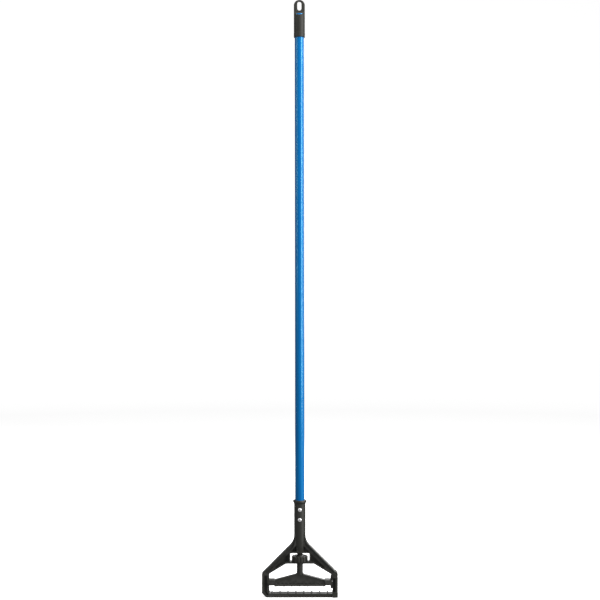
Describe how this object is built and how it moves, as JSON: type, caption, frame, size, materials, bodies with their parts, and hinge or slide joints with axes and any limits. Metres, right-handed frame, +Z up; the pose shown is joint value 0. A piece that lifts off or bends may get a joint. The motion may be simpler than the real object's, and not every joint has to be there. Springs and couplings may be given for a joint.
{
  "type": "string mop handle",
  "caption": "Long tube handle with a hang cap and a clamp head: a thumb wheel drives a toothed jaw onto a bar, and a side gate swings out to load a string mop.",
  "frame": {"origin": "middle of the head's footprint, on the bottom bar's underside, straight below the tube", "axes": "+Z up along the tube towards the hang cap, the head's front faces -Y, the side gate is at +X"},
  "size_m": [0.1935, 0.0408, 1.524],
  "materials": {
    "blue_enamel": "glossy blue enamel on thin steel tube",
    "black_plastic": "moulded black plastic with a fine satin grain",
    "rivet_aluminium": "bright domed blind rivet",
    "mandrel_steel": "broken steel mandrel"
  },
  "bodies": {
    "handle": {"handle_tube": "blue_enamel", "hang_cap": "black_plastic", "clamp_yoke": "black_plastic", "rivet_lower": "rivet_aluminium", "rivet_upper": "rivet_aluminium", "mandrel_lower": "mandrel_steel", "mandrel_upper": "mandrel_steel", "gate_pin": "black_plastic"},
    "wheel": {"thumb_wheel": "black_plastic"},
    "jaw": {"clamp_jaw": "black_plastic"},
    "gate": {"side_gate": "black_plastic"}
  },
  "joints": [
    {"name": "wheel_spin", "type": "hinge", "parent": "handle", "child": "wheel", "pos_m": [0, 0, 0.0972], "axis": [0, 0, 1], "range_deg": [-306, 1080]},
    {"name": "jaw_slide", "type": "slide", "parent": "handle", "child": "jaw", "axis": [0, 0, 1], "range_m": [-0.015, 0.00427]},
    {"name": "gate_swing", "type": "hinge", "parent": "handle", "child": "gate", "pos_m": [0.0882, 0, 0.0575], "axis": [0, -1, 0], "range_deg": [0, 100]}
  ],
  "couplings": [
    {"joint": "jaw_slide", "follows": "wheel_spin", "m_per_rad": -0.00079577}
  ]
}
